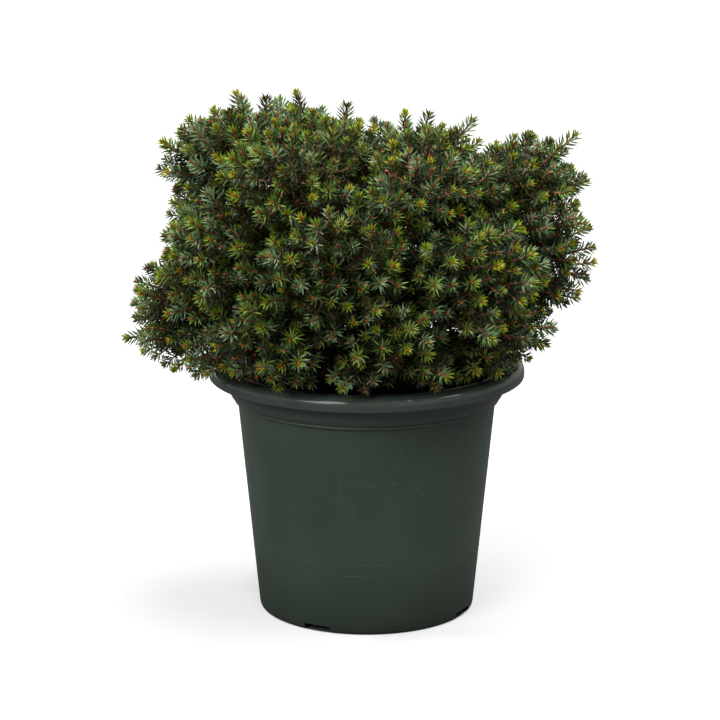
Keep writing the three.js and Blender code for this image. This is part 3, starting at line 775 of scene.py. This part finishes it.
def add_twigs(parts, shoots, radii, rings, sides, pegs, tones, rng):
    """Tapering twigs. Every other ring is wider by pegs, a share of its radius."""
    shares = np.linspace(0, 1, rings)
    count = len(shoots[0])
    middles = np.stack([along(shoots, np.full(count, share))[0] for share in shares], axis=1)
    planes = across_axes(unit(shoots[1] - shoots[0]))
    swell = 1 + pegs * (np.arange(rings) % 2)
    widths = np.tile(mix(radii[0], radii[1], shares) * swell, (count, 1))
    dealt = rng.choice(tones, (count, (rings - 1) * sides + 2))
    parts.add_stacks(middles, planes, widths, sides, dealt)


def add_buds(parts, shoots, count, rng):
    """Buds at the end of each shoot, one at its tip and the others round it."""
    _, tips, axis = shoots
    total = len(tips)
    turn = rng.uniform(0, 2 * math.pi, total)
    for k in range(count):
        size = rng.uniform(0.8, 1.1, total)[:, None]
        heading, foot = axis, tips - axis * 0.3
        if k > 0:
            out = sideways_at(axis, (turn + 2 * math.pi * k / max(1, count - 1))[:, None])
            heading, foot = unit(axis + out * BUD_SPREAD), tips - axis * 0.9 + out * 0.25
            size = size * LESSER_BUDS
        shares, widths = zip(*BUD_RINGS)
        rings = np.stack([foot + heading * BUD_LENGTH * size * share for share in shares], axis=1)
        radii = BUD_RADIUS * size * np.array([widths])
        tip = foot + heading * BUD_LENGTH * size
        tones = (rng.random(total) < 0.4).astype(int)
        parts.add_stacks(rings, across_axes(heading), radii, BUD_SIDES, tones, (foot, tip))


def add_side_buds(parts, shoots, rng):
    """Small buds along the outer part of each shoot."""
    feet, tips, aims = (np.repeat(column, SIDE_BUDS, axis=0) for column in shoots)
    total = len(feet)
    middle, axis = along((feet, tips, aims), rng.uniform(0.35, 0.92, total))
    out = sideways_at(axis, rng.uniform(0, 2 * math.pi, total)[:, None])
    heading = unit(axis * 0.6 + out)
    length = BUD_LENGTH * rng.uniform(0.55, 0.9, total)[:, None]
    foot = middle + out * 0.3
    tip = foot + heading * length
    radii = np.full((total, 1), BUD_RADIUS * LESSER_BUDS)
    middles = (foot + heading * length * 0.45)[:, None]
    tones = (rng.random(total) < 0.5).astype(int)
    parts.add_stacks(middles, across_axes(heading), radii, 3, tones, (foot, tip))


def plain_material(name, colour, roughness, specular=0.5):
    material, tree, shader = nodes_of(name)
    inputs = {"Base Color": (*colour, 1), "Roughness": roughness, "Specular IOR Level": specular}
    feed(tree, shader, inputs)
    return material


def make_foliage():
    """Needles, twigs and buds of each mass, each kind in a piece of its own."""
    needles = [plain_material(f"needle_{name}", tone, *NEEDLE_GLOSS)
               for name, tone in NEEDLE_TONES.items()]
    wood = [plain_material(name, *look) for name, look in WOOD_TONES.items()]
    scales = [plain_material(name, *look) for name, look in BUD_TONES.items()]
    limbs = limb_points()
    for mass in MASSES:
        mass.find_space(MASSES)
    for number, mass in enumerate(MASSES):
        growth = grow(mass, number + 1, limbs)
        rng = np.random.default_rng(1000 + number)
        needle_parts, twig_parts, bud_parts = Parts(), Parts(), Parts()
        for kind, listed in growth.shoots.items():
            if not listed:
                continue
            shoots = arrays(listed)
            rule = KINDS[kind]
            add_needles(needle_parts, kind, shoots, rng)
            rings = 4 if kind == "inner" else 10
            add_twigs(twig_parts, shoots, rule["radii"], rings, 3, YOUNG_PEGS, YOUNG_WOOD, rng)
            add_buds(bud_parts, shoots, rule["buds"], rng)
            if kind != "inner":
                add_side_buds(bud_parts, shoots, rng)
        branchlets = arrays(growth.branchlets)
        add_twigs(twig_parts, branchlets, BRANCHLET_RADII, 5, 5, OLD_PEGS, OLD_WOOD, rng)
        stem = arrays([(mass.bough(1) - mass.facing * CLEARANCE, mass.middle, mass.facing)])
        add_twigs(twig_parts, stem, (STEM_RADIUS, STEM_RADIUS), 5, 8, OLD_PEGS, OLD_WOOD, rng)
        made = piece(f"needles_{mass.name}", needle_parts, needles)
        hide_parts(f"mass_{mass.name}")
        piece(f"twigs_{mass.name}", twig_parts, wood)
        piece(f"buds_{mass.name}", bud_parts, scales)


# Materials

def nodes_of(name):
    material = bpy.data.materials.new(name)
    material.use_nodes = True
    tree = material.node_tree
    return material, tree, tree.nodes["Principled BSDF"]


def feed(tree, made, inputs):
    """Gives each input a value or another node's output."""
    for key, value in inputs.items():
        if isinstance(value, bpy.types.NodeSocket):
            tree.links.new(value, made.inputs[key])
        else:
            made.inputs[key].default_value = value


def node(tree, kind, inputs, **settings):
    made = tree.nodes.new(kind)
    for key, value in settings.items():
        setattr(made, key, value)
    feed(tree, made, inputs)
    return made


def ramp(tree, factor, stops):
    made = node(tree, "ShaderNodeValToRGB", {"Fac": factor})
    elements = made.color_ramp.elements
    while len(elements) < len(stops):
        elements.new(0.5)
    for element, (place, colour) in zip(elements, stops):
        element.position = place
        element.color = (*colour, 1)
    return made.outputs["Color"]


def grey(value):
    return (value,) * 3


def grey_ramp(tree, factor, places, start=0, end=1):
    """A grey that goes from start to end between two places."""
    return ramp(tree, factor, [(places[0], grey(start)), (places[1], grey(end))])


def blend(tree, share, first, second, mode="MIX"):
    inputs = {0: share, 6: first, 7: second}
    return node(tree, "ShaderNodeMix", inputs, data_type="RGBA", blend_type=mode).outputs[2]


def either(tree, share, first, second):
    """The second shader where the share is 1, else the first."""
    return node(tree, "ShaderNodeMixShader", {0: share, 1: first, 2: second}).outputs[0]


def times(tree, first, second):
    return node(tree, "ShaderNodeMath", {0: first, 1: second}, operation="MULTIPLY").outputs[0]


def bump(tree, height, strength, distance, **under):
    inputs = {"Height": height, "Strength": strength, "Distance": distance, **under}
    return node(tree, "ShaderNodeBump", inputs).outputs["Normal"]


def spots(tree, place, scale):
    """Distance from the nearest of many points."""
    inputs = {"Vector": place, "Scale": scale}
    return node(tree, "ShaderNodeTexVoronoi", inputs, feature="F1").outputs["Distance"]


def object_place(tree):
    return node(tree, "ShaderNodeTexCoord", {}).outputs["Object"]


def noise_of(tree, place, scale, detail=4, roughness=0.55):
    inputs = {"Vector": place, "Scale": scale, "Detail": detail, "Roughness": roughness}
    return node(tree, "ShaderNodeTexNoise", inputs).outputs["Fac"]


def share_between(tree, length, low, high):
    inputs = {"Value": length, "From Min": low * MM, "From Max": high * MM}
    return node(tree, "ShaderNodeMapRange", inputs).outputs["Result"]


# Trunk and boughs with the relief of their bark

def bark_material():
    """Thin grey-brown bark in small flakes."""
    material, tree, shader = nodes_of("spruce_bark")
    place = object_place(tree)
    patches = ramp(tree, noise_of(tree, place, 90), [
        (0.3, (0.055, 0.034, 0.022)),
        (0.55, (0.125, 0.085, 0.06)),
        (0.75, (0.21, 0.165, 0.125)),
    ])
    flakes = grey_ramp(tree, spots(tree, place, 260), (0, 0.7), 1, 0.45)
    feed(tree, shader, {
        "Base Color": blend(tree, 0.8, patches, flakes, "MULTIPLY"),
        "Normal": bump(tree, flakes, 0.5, 0.0006),
        "Roughness": 0.88,
        "Specular IOR Level": 0.25,
    })
    return material


def bark_relief(points, middles, depth, scale):
    """Moves each point away from its ring's middle by the height of the bark there."""
    out = points - middles
    heights = [noise.fractal(Vector(point / scale), 0.8, 2.1, 3) for point in points]
    return points + unit(out) * depth * np.array(heights)[:, None]


def make_trunk(material):
    """The stem tapers, leans and flares at the soil."""
    share = np.linspace(0, 1, TRUNK_RINGS) ** 1.3
    rise = share * TRUNK_LENGTH
    angle = turns(TRUNK_SIDES)
    lobes = 1 + BUTTRESS_SHARE * np.cos(BUTTRESSES * angle)
    flare = FLARE_RADIUS * np.exp(-rise / FLARE_HEIGHT)[:, None] * lobes
    radius = TRUNK_RADIUS - TRUNK_TAPER * share[:, None] + flare
    middles = np.array([trunk_axis(TRUNK_FOOT + height) for height in rise])
    middles = np.repeat(middles, TRUNK_SIDES, axis=0)
    points = middles.reshape(TRUNK_RINGS, TRUNK_SIDES, 3).copy()
    points[:, :, 0] += radius * np.cos(angle)
    points[:, :, 1] += radius * np.sin(angle)
    points = points.reshape(-1, 3)
    shaped = bark_relief(points, middles, TRUNK_RELIEF, TRUNK_FLAKES)
    shaped[:, 2] = points[:, 2]
    parts = single(shaped, stack_faces(TRUNK_RINGS, TRUNK_SIDES, False))
    made = piece("trunk_bark", parts, [material], smooth=True)
    made.data.set_sharp_from_angle(angle=math.radians(60))
    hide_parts("trunk")


def make_boughs(material):
    """Each bough is one tapering limb."""
    shares = np.linspace(0, 1, BOUGH_RINGS)
    faces = stack_faces(BOUGH_RINGS, BOUGH_SIDES, False)
    for mass in MASSES:
        middles = mass.bough(shares)
        axes = unit(np.gradient(middles, axis=0))
        side, _ = across_axes(unit(middles[-1:] - middles[:1]))
        second = unit(np.cross(axes, side))
        circle = circles(np.cross(second, axes), second, BOUGH_SIDES)
        radii = mix(TIERS[mass.tier]["foot_radius"], BOUGH_TIP_RADIUS, shares)
        points = (middles[:, None] + radii[:, None, None] * circle).reshape(-1, 3)
        middles = np.repeat(middles, BOUGH_SIDES, axis=0)
        parts = single(bark_relief(points, middles, BOUGH_RELIEF, BOUGH_FLAKES), faces)
        made = piece(f"bark_{mass.name}", parts, [material], smooth=True)
        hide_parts(f"bough_{mass.name}")


# Pot

def wall_radius(height):
    return WALL_RADIUS_AT_GROUND + WALL_FLARE * height


def arc(middle, radii, start, end, count):
    """Points on an ellipse, with angles in degrees."""
    x, y = middle
    angles = np.radians(np.linspace(start, end, count))
    return [(x + radii[0] * math.cos(a), y + radii[1] * math.sin(a)) for a in angles]


def bend(start, corner, end, count):
    start, corner, end = np.array([start, corner, end], float)
    return [tuple(point) for point in curve(start, corner, end, np.linspace(0, 1, count)[:, None])]


def wall_profile():
    points = []
    half = RING_LINE_WIDTH / 2
    for line in RING_LINES:
        for offset, height in ((-2, 0), (-1, 0), (-0.3, 1), (0.3, 1), (1, 0), (2, 0)):
            z = line + offset * half
            points.append((wall_radius(z) + RING_LINE_HEIGHT * height, z))
    for z in range(6, WALL_TOP - 2, 4):
        if all(abs(z - line) > 2 * RING_LINE_WIDTH for line in RING_LINES):
            points.append((wall_radius(z), z))
    return sorted(points, key=lambda point: point[1])


def pot_profile():
    """The pot's section, from the underside up the outer wall, over the lip and down the inside."""
    lip_middle = LIP_RADIUS - LIP_WIDTH / 2
    lip_base = POT_HEIGHT - LIP_DEPTH
    lip_foot = lip_base - LIP_OVERHANG
    hollow_radius = (LIP_RADIUS - LIP_EDGE - COLLAR_RADIUS) / 2
    hollow_depth = LIP_DEPTH - POT_WALL
    floor = CHANNEL_RISE + POT_WALL
    inside = COLLAR_RADIUS - POT_WALL
    points = [(CENTRE_DISC_RADIUS, 0), (CENTRE_DISC_RADIUS + CHANNEL_SLOPE, CHANNEL_RISE)]
    points += [(FOOT_RING_INNER - CHANNEL_SLOPE, CHANNEL_RISE), (FOOT_RING_INNER, 0)]
    foot = (wall_radius(FOOT_ROUNDING), FOOT_ROUNDING)
    points += bend((FOOT_RADIUS, 0), (wall_radius(0), 0), foot, 6)
    points += wall_profile()
    bead_middle = (BEAD_RADIUS - RIM_BEAD / 2, WALL_TOP)
    points.append((wall_radius(WALL_TOP - RIM_BEAD), WALL_TOP - RIM_BEAD))
    points += arc(bead_middle, (RIM_BEAD, RIM_BEAD), -80, 60, 9)
    bead = (COLLAR_RADIUS - RIM_BEAD / 2, WALL_TOP + 2 * RIM_BEAD)
    points += bend((BEAD_RADIUS, WALL_TOP + RIM_BEAD), bead, (COLLAR_RADIUS, BEAD_TOP), 9)
    points += [(COLLAR_RADIUS, (BEAD_TOP + lip_base) / 2)]
    hollow = (COLLAR_RADIUS + hollow_radius, lip_base)
    points += arc(hollow, (hollow_radius, hollow_depth), 180, 0, 11)
    under_edge = (LIP_RADIUS - LIP_EDGE / 2, lip_foot - 0.4)
    edge = (LIP_RADIUS - LIP_EDGE / 8, lip_foot + 0.3)
    points += bend((LIP_RADIUS - LIP_EDGE, lip_foot), under_edge, edge, 4)
    for x, y in arc((0, 0), (1, 1), 0, LIP_INNER_END, 26):
        across = math.copysign(abs(x) ** LIP_SQUARENESS, x) * LIP_WIDTH / 2
        points.append((lip_middle + across, lip_base + y ** LIP_SQUARENESS * LIP_DEPTH))
    points += [(inside, lip_base), (inside, BEAD_TOP)]
    inner_wall = (wall_radius(WALL_TOP) - POT_WALL, WALL_TOP + BEAD_STEP)
    points += bend((inside, BEAD_TOP), (inside, WALL_TOP + POT_WALL), inner_wall, 6)[1:]
    points += [(wall_radius(floor) - POT_WALL, floor), (CENTRE_DISC_RADIUS, floor)]
    points.append((CENTRE_DISC_RADIUS - CHANNEL_SLOPE, POT_WALL))
    return points


def revolved(profile, foot, tip, segments):
    """A solid of revolution that meets the axis at the heights foot and tip."""
    angles = turns(segments)
    rings = [[(r * math.cos(a), r * math.sin(a), z) for a in angles] for r, z in profile]
    points = np.concatenate([[(0, 0, foot)], *rings, [(0, 0, tip)]])
    return points, stack_faces(len(profile), segments, True)


def cutters():
    """Notches that let water out of the channel, and holes that drain the soil into it."""
    parts = Parts()
    ring_width = WALL_RADIUS_AT_GROUND - FOOT_RING_INNER
    inner = FOOT_RING_INNER - ring_width / 2
    outer = inner + 2 * ring_width
    half = NOTCH_WIDTH / 2
    notch = [(inner, -half), (outer, -half), (outer, half), (inner, half)]
    hole_middle = ((CENTRE_DISC_RADIUS + FOOT_RING_INNER) / 2, 0)
    hole = arc(hole_middle, (HOLE_RADIUS, HOLE_RADIUS), 0, 360, HOLE_SIDES + 1)[:-1]
    for section, height, reach, count, start in (
        (notch, 0, CHANNEL_RISE, NOTCH_COUNT, NOTCH_TURN),
        (hole, CHANNEL_RISE, 2 * POT_WALL, HOLE_COUNT, 180 / HOLE_COUNT),
    ):
        x, y = np.array(section).T
        for k in range(count):
            turn = math.radians(start + 360 / count * k)
            across = x * math.cos(turn) - y * math.sin(turn)
            over = x * math.sin(turn) + y * math.cos(turn)
            flat = list(zip(across, over))
            points = np.array([(*p, z) for z in (height - reach, height + reach) for p in flat])
            parts.add(points[None], stack_faces(2, len(section), False), [0])
    return parts


def pot_material():
    """Dark green satin plastic, mottled, scuffed and dusty, with a paler grey collar and lip that
    are a painted reflection, a glossy lip and painted shade that darkens it towards the foot."""
    material, tree, shader = nodes_of("pot_green_plastic")
    place = object_place(tree)
    clouds = noise_of(tree, place, 14, 5)
    body = ramp(tree, clouds, [(0.35, POT_DARK), (0.65, POT_LIGHT)])
    specks = grey_ramp(tree, spots(tree, place, 230), (0.07, 0.11), 1, 0)
    rare = grey_ramp(tree, noise_of(tree, place, 60, 2), (0.5, 0.56))
    dusty = blend(tree, times(tree, specks, rare), body, (*POT_DUST, 1))
    stretched = node(tree, "ShaderNodeMapping", {"Vector": place, "Scale": (1, 1, 0.12)})
    scuffs = noise_of(tree, stretched.outputs["Vector"], 120, 3, 0.7)
    worn = grey_ramp(tree, scuffs, (0.6, 0.78), end=0.35)
    rubbed = blend(tree, worn, dusty, (*POT_RUBBED, 1))
    height = node(tree, "ShaderNodeSeparateXYZ", {"Vector": place}).outputs["Z"]
    above_wall = share_between(tree, height, WALL_TOP, POT_HEIGHT)
    # The collar and lip are blended towards a paler grey, a painted reflection
    collar = grey_ramp(tree, above_wall, (0, 0.12), end=0.6)
    with_painted_reflection = blend(tree, collar, rubbed, (*POT_PAINTED_REFLECTION, 1))
    # Painted shade: the colour darkens towards the foot
    above_ground = share_between(tree, height, 0, PAINTED_FOOT_SHADE_HEIGHT)
    painted_foot_shade = ramp(tree, above_ground, [(share, grey(left)) for share, left in PAINTED_FOOT_SHADE])
    satin = grey_ramp(tree, noise_of(tree, place, 45, 6), (0.3, 0.7), 0.34, 0.44)
    lip = grey_ramp(tree, above_wall, GLOSS)
    grain = bump(tree, noise_of(tree, place, 900, 2), 0.12, 0.0002)
    waves = grey_ramp(tree, above_wall, GLOSS, end=LIP_WAVES)
    feed(tree, shader, {
        "Base Color": blend(tree, 1, with_painted_reflection, painted_foot_shade, "MULTIPLY"),
        "Roughness": blend(tree, lip, satin, (*grey(GLOSS_ROUGHNESS), 1)),
        "Normal": bump(tree, noise_of(tree, place, 42, 2), waves, 0.0015, Normal=grain),
    })
    return material


def make_pot():
    parts = single(*revolved(pot_profile(), 0, POT_WALL, POT_SEGMENTS))
    pot = piece("pot_moulding", parts, [pot_material()], smooth=True)
    cutter = piece("pot_cutters", cutters(), [])
    cut = pot.modifiers.new("openings", "BOOLEAN")
    cut.object = cutter
    cut.operation = "DIFFERENCE"
    cut.solver = "EXACT"
    cut.use_self = True
    graph = bpy.context.evaluated_depsgraph_get()
    pot.data = bpy.data.meshes.new_from_object(pot.evaluated_get(graph))
    pot.modifiers.clear()
    bpy.data.objects.remove(cutter)
    pot.data.set_sharp_from_angle(angle=math.radians(35))
    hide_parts("pot")


# Soil

def soil_material():
    """Dark peaty potting soil with lighter fibres."""
    material, tree, shader = nodes_of("potting_soil_mix")
    place = object_place(tree)
    clods = noise_of(tree, place, 160, 8, 0.7)
    colour = ramp(tree, clods, [
        (0.3, (0.010, 0.007, 0.005)),
        (0.55, (0.032, 0.021, 0.014)),
        (0.75, (0.085, 0.058, 0.038)),
    ])
    feed(tree, shader, {
        "Base Color": colour,
        "Normal": bump(tree, clods, 0.8, 0.001),
        "Roughness": 0.95,
        "Specular IOR Level": 0.2,
    })
    return material


def soil_top(radius):
    """Height of the soil at a distance from the pot's axis, a little proud round the stem."""
    edge = COLLAR_RADIUS - 2 * (POT_WALL + CLEARANCE)
    share = np.clip((radius - COLLAR_RADIUS / 3) / (edge - COLLAR_RADIUS / 3), 0, 1)
    return mix(SOIL_TOP + SOIL_CROWNING, SOIL_TOP - CLEARANCE, share)


def make_soil():
    floor = CHANNEL_RISE + POT_WALL + CLEARANCE
    wall = POT_WALL + CLEARANCE
    edge = COLLAR_RADIUS - 2 * wall
    sides = [
        (CENTRE_DISC_RADIUS - CHANNEL_SLOPE - CLEARANCE, wall),
        (CENTRE_DISC_RADIUS - CLEARANCE, floor),
        (wall_radius(floor) - wall, floor),
        (wall_radius(WALL_TOP) - wall, WALL_TOP + BEAD_STEP + CLEARANCE),
    ]
    radii = np.linspace(edge, edge / SOIL_RINGS, SOIL_RINGS)
    top = [(radius, float(soil_top(radius))) for radius in radii]
    points, faces = revolved(sides + top, wall, SOIL_TOP + SOIL_CROWNING, SOIL_SEGMENTS)
    first_top = 1 + len(sides) * SOIL_SEGMENTS
    for number in range(first_top + SOIL_SEGMENTS, len(points) - 1):
        x, y, z = points[number]
        lump = noise.fractal(Vector((x / SOIL_LUMP_SIZE, y / SOIL_LUMP_SIZE, 0)), 0.7, 2.2, 5)
        points[number, 2] = z + SOIL_LUMPS * (lump - 0.35)
    parts = single(points, faces)
    rng = np.random.default_rng(77)
    distance = edge * np.sqrt(rng.uniform(0.03, 0.93, CRUMBS))
    angle = rng.uniform(0, 2 * math.pi, CRUMBS)
    x, y = distance * np.cos(angle), distance * np.sin(angle)
    middles = np.stack([x, y, soil_top(distance)], axis=1)
    heading = unit(rng.normal(0, 1, (CRUMBS, 3)) * [1, 1, 0.4])
    size = rng.uniform(*CRUMB_SIZES, CRUMBS)[:, None]
    rings = np.stack([middles - heading * size * 0.45, middles + heading * size * 0.45], axis=1)
    radii = size * rng.uniform(0.55, 0.95, (CRUMBS, 2))
    foot, tip = middles - heading * size, middles + heading * size
    tones = np.zeros(CRUMBS, int)
    parts.add_stacks(rings, across_axes(heading), radii, CRUMB_SIDES, tones, (foot, tip))
    made = piece("soil_surface", parts, [soil_material()])
    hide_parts("potting_soil")


# Studio

def make_stage():
    """A plain floor that looks white, but for a dark painted shadow under the pot, and sends up
    little light.
    """
    material, tree, _ = nodes_of("floor_white")
    white = node(tree, "ShaderNodeBsdfDiffuse", {"Color": (*grey(FLOOR_SEEN), 1)})
    glow = node(tree, "ShaderNodeEmission", {"Color": WHITE, "Strength": FLOOR_GLOW})
    seen = node(tree, "ShaderNodeAddShader", {0: white.outputs[0], 1: glow.outputs[0]})
    lit = node(tree, "ShaderNodeBsdfDiffuse", {"Color": (*grey(FLOOR_BOUNCE), 1)})
    path = node(tree, "ShaderNodeLightPath", {})
    # Painted shadow: under the pot the camera sees the floor's dim grey, without its glow
    away = node(tree, "ShaderNodeVectorMath", {0: object_place(tree)}, operation="LENGTH")
    outside_painted_shadow = share_between(tree, away.outputs["Value"], FOOT_RADIUS, WALL_RADIUS_AT_GROUND)
    shown = times(tree, path.outputs["Is Camera Ray"], outside_painted_shadow)
    surface = either(tree, shown, lit.outputs[0], seen.outputs[0])
    feed(tree, tree.nodes["Material Output"], {"Surface": surface})
    half = FLOOR_SIZE / 2
    corners = np.array([(-half, -half, 0), (half, -half, 0), (half, half, 0), (-half, half, 0)])
    floor = joined("floor", single(corners, [(0, 1, 2, 3)]), [material])


def make_lights():
    for name, (azimuth, elevation, width, strength) in LIGHTS.items():
        data = bpy.data.lights.new(name, "SUN")
        data.energy = strength
        data.angle = math.radians(width)
        turn, rise = math.radians(azimuth), math.radians(elevation)
        level = math.cos(rise)
        place = Vector((math.cos(turn) * level, math.sin(turn) * level, math.sin(rise)))
        stand(name, data).rotation_euler = place.to_track_quat("Z", "Y").to_euler()


def make_world():
    """Soft light that reflections see brighter, and a white backdrop."""
    world = bpy.data.worlds.new("studio")
    world.use_nodes = True
    tree = world.node_tree
    soft = tree.nodes["Background"]
    feed(tree, soft, {"Color": WORLD_COLOUR, "Strength": WORLD_LIGHT})
    reflected, seen = (
        node(tree, "ShaderNodeBackground", {"Color": WHITE, "Strength": strength}).outputs[0]
        for strength in (WORLD_REFLECTED, 1)
    )
    path = node(tree, "ShaderNodeLightPath", {}).outputs
    unseen = either(tree, path["Is Glossy Ray"], soft.outputs[0], reflected)
    surface = either(tree, path["Is Camera Ray"], unseen, seen)
    feed(tree, tree.nodes["World Output"], {"Surface": surface})
    bpy.context.scene.world = world
    bpy.context.scene.view_settings.view_transform = "Standard"


def make_camera():
    data = bpy.data.cameras.new("camera")
    data.lens = CAMERA_LENS
    data.sensor_width = CAMERA_SENSOR
    camera = stand("camera", data)
    camera.location = CAMERA_PLACE * MM
    camera.rotation_euler = (CAMERA_TILT, 0, 0)
    bpy.context.scene.camera = camera


bark = bark_material()
make_foliage()
make_trunk(bark)
make_boughs(bark)
make_pot()
make_soil()
make_stage()
make_lights()
make_world()
make_camera()
